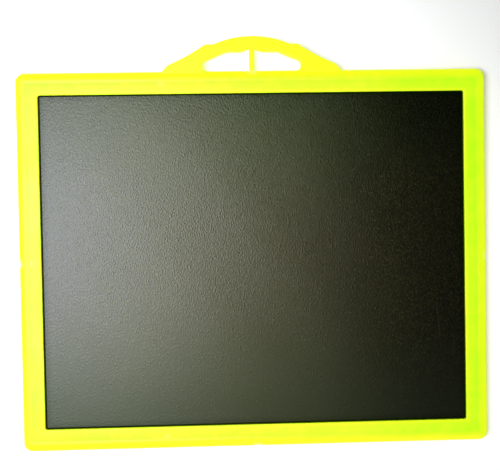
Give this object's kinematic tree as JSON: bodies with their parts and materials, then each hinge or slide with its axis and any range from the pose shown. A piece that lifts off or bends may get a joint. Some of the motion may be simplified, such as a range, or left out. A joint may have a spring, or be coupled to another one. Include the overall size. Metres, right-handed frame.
{
  "type": "slate writing board",
  "caption": "Child's slate: black grained writing panel, held between the halves of a hollow plastic frame that carries an arched handle with finger gaps.",
  "frame": {"origin": "middle of the lying slate's box, on the plane of the rear rim that it rests on", "axes": "+X along the width, +Y towards the handle, +Z out of the front writing face"},
  "size_m": [0.28, 0.2454, 0.008],
  "materials": {
    "frame_plastic": "semi-gloss fluorescent lime moulding",
    "slate_film": "satin black with a fine leather grain",
    "core_board": "plain grey board"
  },
  "bodies": {
    "root": {"front_frame": "frame_plastic", "front_writing_film": "slate_film", "core_board": "core_board", "rear_writing_film": "slate_film", "rear_frame": "frame_plastic"}
  },
  "joints": []
}
